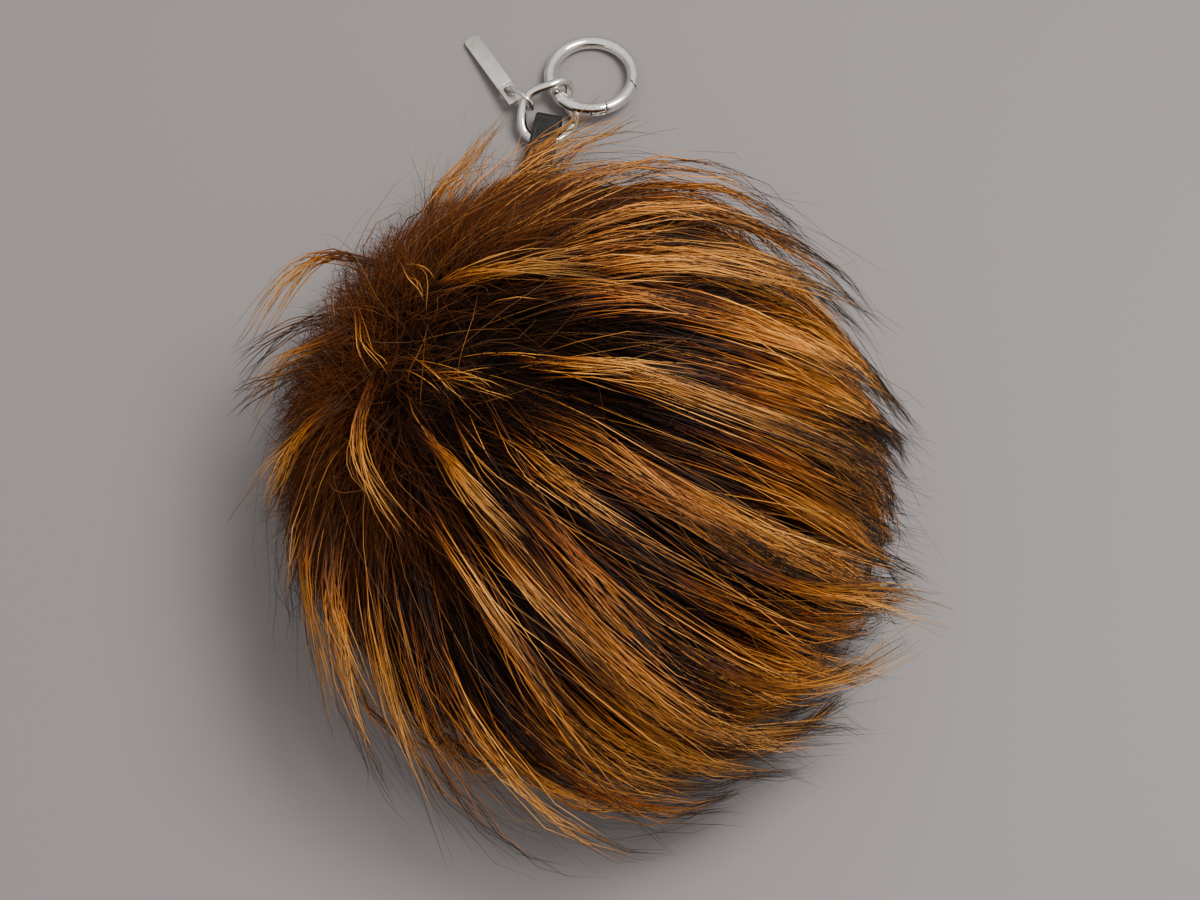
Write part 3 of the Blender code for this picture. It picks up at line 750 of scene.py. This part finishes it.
# The loose locks
# Locks that have strayed from the combed pile: by the strap and the links, out over the left edge, across the
# hollow and the fuzz beside the whorl, and out to the lower right. Each is given by the number of its hairs,
# their spread at both ends, how pale they are, and the places that it passes, in mm.
LOCK_ROWS = 8
LOCK_STEPS = 39
LOCK_ENDS = (0.72, 1.0)
LOCK_START_SPREAD = 0.5
LOCK_SCATTER = 0.6
LOCK_TINT_SPREAD = 0.12
LOOSE_WAVE = 0.0009
LOOSE_WAVE_PACES = (3, 7)
LOOSE_LOCKS = (
    (26, (2.0, 2.6), 0.75, ((-28, 56, 42), (-26, 73, 34), (-18, 88, 24), (-9, 107, 13))),
    (10, (1.5, 3.0), 0.7, ((-22, 58, 42), (-22, 71, 34), (-19, 82, 26), (-15, 97, 15))),
    (22, (3.0, 3.5), 0.8, ((-6, 68, 30), (-1, 88, 24), (7, 98, 17), (18, 109, 12))),
    (12, (3.0, 4.0), 0.75, ((1, 74, 30), (9, 92, 24), (21, 101, 17), (32, 109, 12))),
    (28, (1.6, 4.0), 0.8, ((-36, 34, 76), (-51, 44, 62), (-62, 40, 56), (-74, 22, 50))),
    (18, (2.5, 3.5), 0.7, ((-42, 17, 79), (-54, 15, 70), (-63, 15, 60), (-70, 6, 50))),
    (24, (2.0, 4.0), 0.75, ((-45, -3, 81), (-55, -9, 74), (-62, -16, 64), (-69, -26, 52))),
    (22, (1.5, 4.0), 0.75, ((-36, 6, 86), (-41, -11, 86), (-39, -25, 87), (-28, -41, 90))),
    (34, (1.6, 4.4), 0.75, ((-26, 21, 88), (-14, 25, 93), (3, 27, 96), (23, 27, 96))),
    (26, (1.8, 4.2), 0.75, ((-28, -13, 92), (-20, -22, 96), (-11, -35, 98), (1, -47, 97))),
    (18, (1.8, 3.4), 0.75, ((-46, -33, 77), (-47, -50, 75), (-43, -64, 71), (-36, -80, 61))),
    (14, (1.8, 3.8), 0.7, ((-53, -24, 70), (-55, -42, 66), (-51, -60, 58), (-46, -78, 46))),
    (16, (2.0, 5.0), 0.1, ((-48, 26, 66), (-59, 26, 58), (-69, 22, 52), (-78, 15, 46))),
    (16, (2.0, 5.0), 0.1, ((-48, 10, 74), (-59, 11, 65), (-70, 10, 54), (-78, 7, 46))),
    (5, (3.0, 5.0), 0.8, ((-31, 4, 89), (-21, -2, 95), (-12, -9, 98))),
    (6, (3.0, 5.0), 0.85, ((-25, 0, 92), (-13, -5, 98), (-1, -11, 100))),
    (6, (2.5, 4.0), 0.85, ((-44, 25, 76), (-40, 11, 85), (-34, 1, 89))),
    (5, (2.5, 4.0), 0.8, ((-33, 36, 79), (-27, 27, 87), (-24, 18, 91))),
    (30, (2.5, 6.0), 0.6, ((43, -46, 95), (67, -52, 82), (87, -48, 62), (105, -48, 48))),
    (24, (2.5, 5.0), 0.6, ((33, -66, 91), (56, -74, 76), (77, -67, 56), (96, -55, 46))),
    (16, (2.0, 4.0), 0.1, ((44, -83, 45), (64, -75, 30), (79, -64, 25))),
)


def curve_point(before, start, end, after, t):
    """A point of a smooth curve from start to end, whose neighbours lie before and after."""
    bow = (2 * before - 5 * start + 4 * end - after) * t * t
    return 0.5 * (2 * start + (end - before) * t + bow + (3 * start - before - 3 * end + after) * t ** 3)


def line_through(places, steps):
    """A smooth open line through the places, in even steps."""
    ends = np.concatenate(([2 * places[0] - places[1]], places, [2 * places[-1] - places[-2]]))
    made = []
    for where in np.linspace(0, len(places) - 1, steps + 1):
        k = min(int(where), len(places) - 2)
        made.append(curve_point(*ends[k:k + 4], where - k))
    return np.array(made)


lines, tint = [], []
share = row_shares(LOCK_ROWS)
for hairs, spread, pale, places in LOOSE_LOCKS:
    middle = line_through(np.array(places) / 1000, LOCK_STEPS)
    near_spread, far_spread = np.array(spread) / 1000 * LOCK_SCATTER
    for hair in range(hairs):
        length = rng.uniform(*LOCK_ENDS)
        begin = rng.uniform(0, 1 - LOCK_ENDS[0]) * LOCK_START_SPREAD
        at = np.clip(share * length + begin, 0, 1) * LOCK_STEPS
        line = np.stack([np.interp(at, np.arange(LOCK_STEPS + 1), values) for values in middle.T], axis=-1)
        line += rng.normal(size=3) * near_spread * (1 - share)[:, None]
        line += rng.normal(size=3) * far_spread * (share ** 1.5)[:, None]
        line += np.sin(share[:, None] * rng.uniform(*LOOSE_WAVE_PACES) + rng.uniform(0, 6, 3)) * LOOSE_WAVE
        lines.append(line)
        tint.append(pale + rng.normal() * LOCK_TINT_SPREAD)
grow_pieces(("loose_locks",), np.array(lines), tint, GUARD_WIDTH, stray_finish, rng)

# The oval link
# Nickel-plated wire, bent to a loose oval and closed with a butt joint. It holds the strap in its lower end,
# passes round the ring's wire on the left, and twists a little, so that it stands off the table.
LINK_WIRE = 0.0026
LINK_PLACES = np.array((
    (-4.0, 112.3, 6.2), (-1.8, 117.0, 7.9), (4.2, 119.4, 8.8), (7.9, 121.1, 7.7), (9.4, 120.1, 4.5),
    (8.8, 116.4, 1.7), (10.9, 112.2, 1.9), (7.9, 106.2, 3.3), (2.0, 103.6, 4.0), (-3.2, 106.8, 4.4),
)) / 1000
LINK_STEPS = 14
LINK_JOINT = 104
JOINT_DEPTH = 0.9
WIRE_ROUNDNESS = 8
NICKEL_COLOUR = (0.95, 0.925, 0.88)
NICKEL_DULL = (0.80, 0.765, 0.71)


def smooth_loop(places, steps):
    """A smooth closed line through the places, each stretch split into equal steps."""
    path = []
    for k in range(len(places)):
        nearby = [places[(k + shift) % len(places)] for shift in (-1, 0, 1, 2)]
        for step in range(steps):
            path.append(curve_point(*nearby, step / steps))
    return path


def wire_loop(name, path, wire, joint):
    """A closed loop of round wire along the path, with the fine groove of its butt joint."""
    curve = bpy.data.curves.new(name, "CURVE")
    curve.dimensions = "3D"
    curve.bevel_depth = wire / 2
    curve.bevel_resolution = WIRE_ROUNDNESS
    spline = curve.splines.new("POLY")
    spline.points.add(len(path) - 1)
    for point, place in zip(spline.points, path):
        point.co = (*place, 1.0)
    spline.points[joint].radius = JOINT_DEPTH
    spline.use_cyclic_u = True
    make_active(new_object(name, curve))
    bpy.ops.object.convert(target="MESH")
    bpy.ops.object.shade_smooth()
    return bpy.context.object


def make_wear_group():
    """Fine scratches and smudges of handling, for bare metal. The scratches run along the longer stretch."""
    sockets = {"Place": "NodeSocketVector", "Stretch": "NodeSocketVector", "Amount": "NodeSocketFloat"}
    group, given, results = new_group("handling_wear", sockets, ("Scratches", "Smudges"))
    drawn = add_node(group, "ShaderNodeVectorMath", {0: given["Place"], 1: given["Stretch"]},
                     operation="MULTIPLY").outputs[0]
    noise = {"Vector": drawn, "Scale": 1.0, "Detail": 5.0, "Roughness": 0.7}
    lines = add_node(group, "ShaderNodeTexNoise", noise).outputs["Fac"]
    thin = add_node(group, "ShaderNodeMapRange", {"Value": lines, "From Min": 0.52, "From Max": 0.68})
    scratches = add_math(group, "MULTIPLY", thin.outputs["Result"], given["Amount"])
    noise = {"Vector": given["Place"], "Scale": 420.0, "Detail": 3.0}
    cloud = add_node(group, "ShaderNodeTexNoise", noise).outputs["Fac"]
    smudges = add_node(group, "ShaderNodeMapRange", {"Value": cloud, "From Min": 0.42, "From Max": 0.72})
    group.links.new(scratches, results["Scratches"])
    group.links.new(smudges.outputs["Result"], results["Smudges"])
    return group


def metal_finish(name, colours, roughness, stretch, amount, heading, depth):
    """A plated metal whose shine and colour vary with its handling wear."""
    made, tree, shader = new_material(name, roughness[0], 1.0)
    place = add_node(tree, "ShaderNodeTexCoord").outputs["Object"]
    turned = add_node(tree, "ShaderNodeMapping", {"Vector": place, "Rotation": (0.0, 0.0, -heading)})
    wear = add_node(tree, "ShaderNodeGroup", {"Place": turned.outputs["Vector"], "Stretch": stretch,
                                              "Amount": amount}, node_tree=wear_group).outputs
    stops = [(0.0, colours[0]), (1.0, colours[1])]
    tree.links.new(add_ramp(tree, wear["Smudges"], stops), shader.inputs["Base Color"])
    total = add_math(tree, "ADD", wear["Scratches"], wear["Smudges"])
    shine = add_node(tree, "ShaderNodeMapRange", {"Value": total, "From Max": 2.0, "To Min": roughness[0],
                                                  "To Max": roughness[1]})
    tree.links.new(shine.outputs["Result"], shader.inputs["Roughness"])
    add_bump(tree, shader, wear["Scratches"], 0.5, depth)
    return made


wear_group = make_wear_group()
polished_nickel = metal_finish("polished_nickel", (NICKEL_COLOUR, NICKEL_DULL), (0.07, 0.30),
                               (900.0, 900.0, 900.0), 0.5, 0.0, 0.00002)
oval_link = wire_loop("oval_link_wire", smooth_loop(LINK_PLACES, LINK_STEPS), LINK_WIRE, LINK_JOINT)
finish_piece(oval_link, polished_nickel, "charm", "oval_link")

# The ring's body
# The fixed part of the spring gate ring, cast round and polished. Its lower end is forked and ends round the
# rivet that holds the gate, and its other end is cut at a slant where the gate shuts against it.
RING_BORE = 0.020
RING_WIRE = 0.0036
RING_RADIUS = (RING_BORE + RING_WIRE) / 2
RING_CENTRE = (0.0156, 0.1248, 0.0039)
RING_LEAN = math.radians(-10)
RING_SIDES = 40
BODY_STEPS = 110
GATE_END_ANGLE = math.radians(-17.2)
GATE_END_SLANT = math.radians(5.8)
RIVET_ANGLE = math.radians(-84.5)
RIVET_RADIUS = 0.0006
RIVET_PROUD = 0.0001
RIVET_PLACE = (RING_RADIUS * math.cos(RIVET_ANGLE), RING_RADIUS * math.sin(RIVET_ANGLE), 0.0)
GATE_GAP = 0.00045
KNUCKLE_RADIUS = 0.0028
FORK_SLOT = 0.0014
FORK_DEPTH = 0.0021
TONGUE_HEADING = RIVET_ANGLE + math.pi / 2 + math.radians(10)
WIRE_EDGE = 0.00016
SPIN_TURN = 1.0


def angle_from_rivet(out, distance):
    """Angle at which a wire point this far out lies at a given distance from the rivet."""
    radius = RING_RADIUS + out
    return math.acos((radius ** 2 + RING_RADIUS ** 2 - distance ** 2) / (2 * RING_RADIUS * radius))


def gate_end(out):
    return GATE_END_ANGLE - GATE_END_SLANT * out / (RING_WIRE / 2)


def body_start(out):
    return gate_end(out) + GATE_GAP / RING_RADIUS


def body_end(out):
    return 2 * math.pi + RIVET_ANGLE + angle_from_rivet(out, KNUCKLE_RADIUS)


def spun_wire(name, start, end, steps):
    """A stretch of the ring's wire: a circle spun round the ring's middle, then drawn to its end angles."""
    deselect_all()
    bpy.ops.mesh.primitive_circle_add(vertices=RING_SIDES, radius=RING_WIRE / 2, location=(RING_RADIUS, 0, 0),
                                      rotation=(math.pi / 2, 0, 0))
    piece = bpy.context.object
    piece.name = name
    bpy.ops.object.transform_apply(location=True, rotation=True, scale=True)
    edit_all()
    bpy.ops.mesh.spin(steps=steps, angle=SPIN_TURN, center=(0, 0, 0), axis=(0, 0, 1))
    bpy.ops.mesh.select_all(action="SELECT")
    bpy.ops.mesh.fill_holes(sides=0)
    bpy.ops.object.mode_set(mode="OBJECT")
    for vert in piece.data.vertices:
        out = math.hypot(vert.co.x, vert.co.y) - RING_RADIUS
        share = abs(math.atan2(vert.co.y, vert.co.x)) / SPIN_TURN
        angle = start(out) + (end(out) - start(out)) * share
        radius = RING_RADIUS + out
        vert.co = (radius * math.cos(angle), radius * math.sin(angle), vert.co.z)
    turn_faces_out()
    return piece


def block_by_rivet(size, middle):
    """A block along the tongue's heading, its middle this far from the rivet."""
    place = (RIVET_PLACE[0] + middle * math.cos(TONGUE_HEADING),
             RIVET_PLACE[1] + middle * math.sin(TONGUE_HEADING), 0)
    bpy.ops.mesh.primitive_cube_add(size=1.0, rotation=(0, 0, TONGUE_HEADING), location=place)
    block = bpy.context.object
    block.scale = size
    return block


def cut_or_join(piece, other, operation):
    """Cuts the other shape from the piece, or joins it on, and removes the other shape."""
    change = piece.modifiers.new("change", "BOOLEAN")
    change.operation = operation
    change.solver = "EXACT"
    change.object = other
    apply_modifiers(piece)
    bpy.data.objects.remove(other)


def soften_edges(piece, width, segments, limit):
    edge = piece.modifiers.new("edge", "BEVEL")
    edge.width = width
    edge.segments = segments
    edge.limit_method = "ANGLE"
    edge.angle_limit = math.radians(limit)
    apply_modifiers(piece)


def place_on_ring(piece):
    piece.location = RING_CENTRE
    piece.rotation_euler = (RING_LEAN, 0.0, 0.0)
    apply_place(piece)


ring_body = spun_wire("ring_body_wire", body_start, body_end, BODY_STEPS)
deselect_all()
slot_length = FORK_DEPTH + 2 * RING_WIRE
slot_size = (slot_length, 2 * RING_WIRE, FORK_SLOT)
slot = block_by_rivet(slot_size, slot_length / 2 - FORK_DEPTH)
cut_or_join(ring_body, slot, "DIFFERENCE")
soften_edges(ring_body, WIRE_EDGE, 3, 50)
place_on_ring(ring_body)
finish_piece(ring_body, polished_nickel, "charm", "ring_body")

deselect_all()
bpy.ops.mesh.primitive_cylinder_add(vertices=36, radius=RIVET_RADIUS, depth=RING_WIRE + 2 * RIVET_PROUD,
                                    location=RIVET_PLACE)
rivet = bpy.context.object
rivet.name = "ring_rivet"
bpy.ops.object.transform_apply(location=True, rotation=True, scale=True)
soften_edges(rivet, RIVET_RADIUS * 0.4, 4, 50)
place_on_ring(rivet)
finish_piece(rivet, polished_nickel, "charm", "ring_body")

# The ring's gate
# The short sprung arc that opens inwards. A flat tongue on it lies in the fork and turns on the rivet, and a
# coil spring hidden in the wire shuts it again.
GATE_STEPS = 24
TONGUE_THICKNESS = 0.0008
TONGUE_RADIUS = 0.0015
TONGUE_WIDTH = 0.0024
TONGUE_LENGTH = 0.0046
EYE_ROOM = 0.0003


def gate_start(out):
    return RIVET_ANGLE + angle_from_rivet(out, KNUCKLE_RADIUS + GATE_GAP)


deselect_all()
bpy.ops.mesh.primitive_cylinder_add(vertices=40, radius=TONGUE_RADIUS, depth=TONGUE_THICKNESS,
                                    location=RIVET_PLACE)
tongue = bpy.context.object
bar = block_by_rivet((TONGUE_LENGTH, TONGUE_WIDTH, TONGUE_THICKNESS * 0.999), TONGUE_LENGTH / 2)
cut_or_join(tongue, bar, "UNION")
bpy.ops.mesh.primitive_cylinder_add(vertices=40, radius=RIVET_RADIUS + EYE_ROOM, depth=3 * TONGUE_THICKNESS,
                                    location=RIVET_PLACE)
cut_or_join(tongue, bpy.context.object, "DIFFERENCE")
ring_gate = spun_wire("ring_gate_wire", gate_start, gate_end, GATE_STEPS)
cut_or_join(ring_gate, tongue, "UNION")
soften_edges(ring_gate, WIRE_EDGE, 3, 50)
place_on_ring(ring_gate)
finish_piece(ring_gate, polished_nickel, "gate", "ring_gate")

# The tag's link
# A small link of thin plated wire, through the tag's slot and round the oval link, standing on its edge.
TAG_LINK_WIRE = 0.0015
TAG_LINK_HALF_HEIGHT = 0.0028
TAG_LINK_START = np.array((-0.0075, 0.1194, 0.0045))
TAG_LINK_END = np.array((-0.0014, 0.1134, 0.0084))
TAG_LINK_ARC_STEPS = 24
TAG_LINK_JOINT = 36

along = unit(TAG_LINK_END - TAG_LINK_START)
side = unit(np.array((along[1], -along[0], 0.0)))
up = np.cross(side, along)
path = []
for end, start_turn in ((TAG_LINK_END - along * TAG_LINK_HALF_HEIGHT, 90),
                        (TAG_LINK_START + along * TAG_LINK_HALF_HEIGHT, 270)):
    for step in range(TAG_LINK_ARC_STEPS + 1):
        turn = math.radians(start_turn - 180 * step / TAG_LINK_ARC_STEPS)
        path.append(end + TAG_LINK_HALF_HEIGHT * (along * math.cos(turn) + up * math.sin(turn)))
tag_link = wire_loop("tag_link_wire", path, TAG_LINK_WIRE, TAG_LINK_JOINT)
finish_piece(tag_link, polished_nickel, "charm", "tag_link")

# The tag
# A slim bar of satin nickel, stamped out flat with a rounded far end, slotted for its link and brushed along
# its length, with a fine line scored across it past the slot. Its edges are bevelled.
TAG_LENGTH = 0.0264
TAG_WIDTH = 0.0046
TAG_THICKNESS = 0.0012
TAG_ROUND = 0.0015
TAG_EDGE = 0.00022
TAG_SLOT = {"across": 0.0026, "along": 0.0036, "from_end": 0.0040}
TAG_SLOT_CORNER = 0.0006
TAG_SMALLEST = 0.00002
TAG_LINE = {"from_end": 0.0068, "width": 0.00016, "depth": 0.00010}
TAG_END = (-0.0056, 0.1160, 0.0050)
TAG_HEADING = math.radians(31.5)
TAG_PITCH = math.radians(-9)
SATIN_COLOUR = (0.74, 0.71, 0.66)
SATIN_DULL = (0.60, 0.57, 0.52)


def rounded_block(name, size, middle, corner, segments):
    """A block whose upright edges are rounded."""
    deselect_all()
    bpy.ops.mesh.primitive_cube_add(size=1.0, location=(0, 0, 0))
    block = bpy.context.object
    block.name = name
    block.scale = size
    block.location = middle
    bpy.ops.object.transform_apply(location=True, rotation=True, scale=True)
    bpy.ops.object.mode_set(mode="EDIT")
    bpy.ops.mesh.select_all(action="DESELECT")
    bpy.ops.object.mode_set(mode="OBJECT")
    for edge in block.data.edges:
        one, other = (block.data.vertices[k].co for k in edge.vertices)
        edge.select = abs(one.x - other.x) < 1e-6 and abs(one.y - other.y) < 1e-6
    bpy.ops.object.mode_set(mode="EDIT")
    bpy.ops.mesh.select_mode(type="EDGE")
    bpy.ops.mesh.bevel(offset=corner, segments=segments)
    bpy.ops.object.mode_set(mode="OBJECT")
    return block


deselect_all()
bpy.ops.mesh.primitive_cylinder_add(vertices=48, radius=1.0, depth=TAG_THICKNESS, location=(0, 0, 0))
tag = bpy.context.object
tag.name = "metal_tag_bar"
for vert in tag.data.vertices:
    if vert.co.y > -0.001:
        vert.co = (vert.co.x * TAG_WIDTH / 2, TAG_LENGTH - TAG_ROUND * (1 - vert.co.y), vert.co.z)
    else:
        vert.co = (math.copysign(TAG_WIDTH / 2, vert.co.x), 0.0, vert.co.z)
edit_all()
bpy.ops.mesh.remove_doubles(threshold=TAG_SMALLEST)
bpy.ops.mesh.normals_make_consistent(inside=False)
bpy.ops.object.mode_set(mode="OBJECT")
slot = rounded_block("tag_slot", (TAG_SLOT["across"], TAG_SLOT["along"], 3 * TAG_THICKNESS),
                     (0, TAG_SLOT["from_end"], 0), TAG_SLOT_CORNER, 4)
cut_or_join(tag, slot, "DIFFERENCE")
line = rounded_block("tag_line", (2 * TAG_WIDTH, TAG_LINE["width"], TAG_LINE["depth"] * 2),
                     (0, TAG_LINE["from_end"], TAG_THICKNESS / 2), TAG_LINE["width"] * 0.2, 1)
cut_or_join(tag, line, "DIFFERENCE")
soften_edges(tag, TAG_EDGE, 3, 50)
tag.location = TAG_END
tag.rotation_euler = (TAG_PITCH, 0.0, TAG_HEADING)
apply_place(tag)
satin_nickel = metal_finish("satin_nickel", (SATIN_COLOUR, SATIN_DULL), (0.26, 0.48),
                            (9000.0, 260.0, 9000.0), 0.9, TAG_HEADING, 0.00003)
finish_piece(tag, satin_nickel, "charm", "metal_tag")

# The table, the lights and the camera
# A plain pale surface under the charm, one large soft light from the upper right in an even pale sky, and the
# camera high over the near side, as the photograph was taken.
TABLE_COLOUR = (0.205, 0.184, 0.184)
LIGHT_PLACE = np.array((0.42, 0.16, 1.05))
LIGHT_AIM = np.array((0.02, 0.0, 0.04))
LIGHT_SIZE = 0.50
LIGHT_POWER = 14.5
LIGHT_COLOUR = (1.0, 0.97, 0.93)
SKY_COLOURS = [(0.0, (0.22, 0.21, 0.20)), (0.35, (0.55, 0.54, 0.52)), (0.75, (1.0, 0.985, 0.96))]
SKY_STRENGTH = 0.95
CAMERA_PLACE = (0.0179, -0.2657, 0.7666)
CAMERA_TILT = math.radians(20)
CAMERA_LENS = 90.0

deselect_all()
bpy.ops.mesh.primitive_plane_add(size=6.0, location=(0, 0, 0))
table = bpy.context.object
table.name = "table_top"
table_paint, tree, shader = new_material("pale_table", 0.6)
shader.inputs["Base Color"].default_value = (*TABLE_COLOUR, 1.0)
table.data.materials.append(table_paint)

light_data = bpy.data.lights.new("key_light", "AREA")
light_data.shape = "DISK"
light_data.size = LIGHT_SIZE
light_data.energy = LIGHT_POWER
light_data.color = LIGHT_COLOUR
light = new_object("key_light", light_data)
light.location = LIGHT_PLACE
aim = LIGHT_AIM - LIGHT_PLACE
light.rotation_euler = (math.atan2(math.hypot(aim[0], aim[1]), -aim[2]), 0.0, math.atan2(-aim[0], aim[1]))

world = bpy.data.worlds.new("studio")
world.use_nodes = True
sky = world.node_tree
direction = add_node(sky, "ShaderNodeTexCoord").outputs["Generated"]
height = add_node(sky, "ShaderNodeSeparateXYZ", {"Vector": direction}).outputs["Z"]
sky.links.new(add_ramp(sky, height, SKY_COLOURS), sky.nodes["Background"].inputs["Color"])
sky.nodes["Background"].inputs["Strength"].default_value = SKY_STRENGTH
bpy.context.scene.world = world

camera_data = bpy.data.cameras.new("camera")
camera_data.lens = CAMERA_LENS
camera = new_object("camera", camera_data)
camera.location = CAMERA_PLACE
camera.rotation_euler = (CAMERA_TILT, 0.0, 0.0)
bpy.context.scene.camera = camera
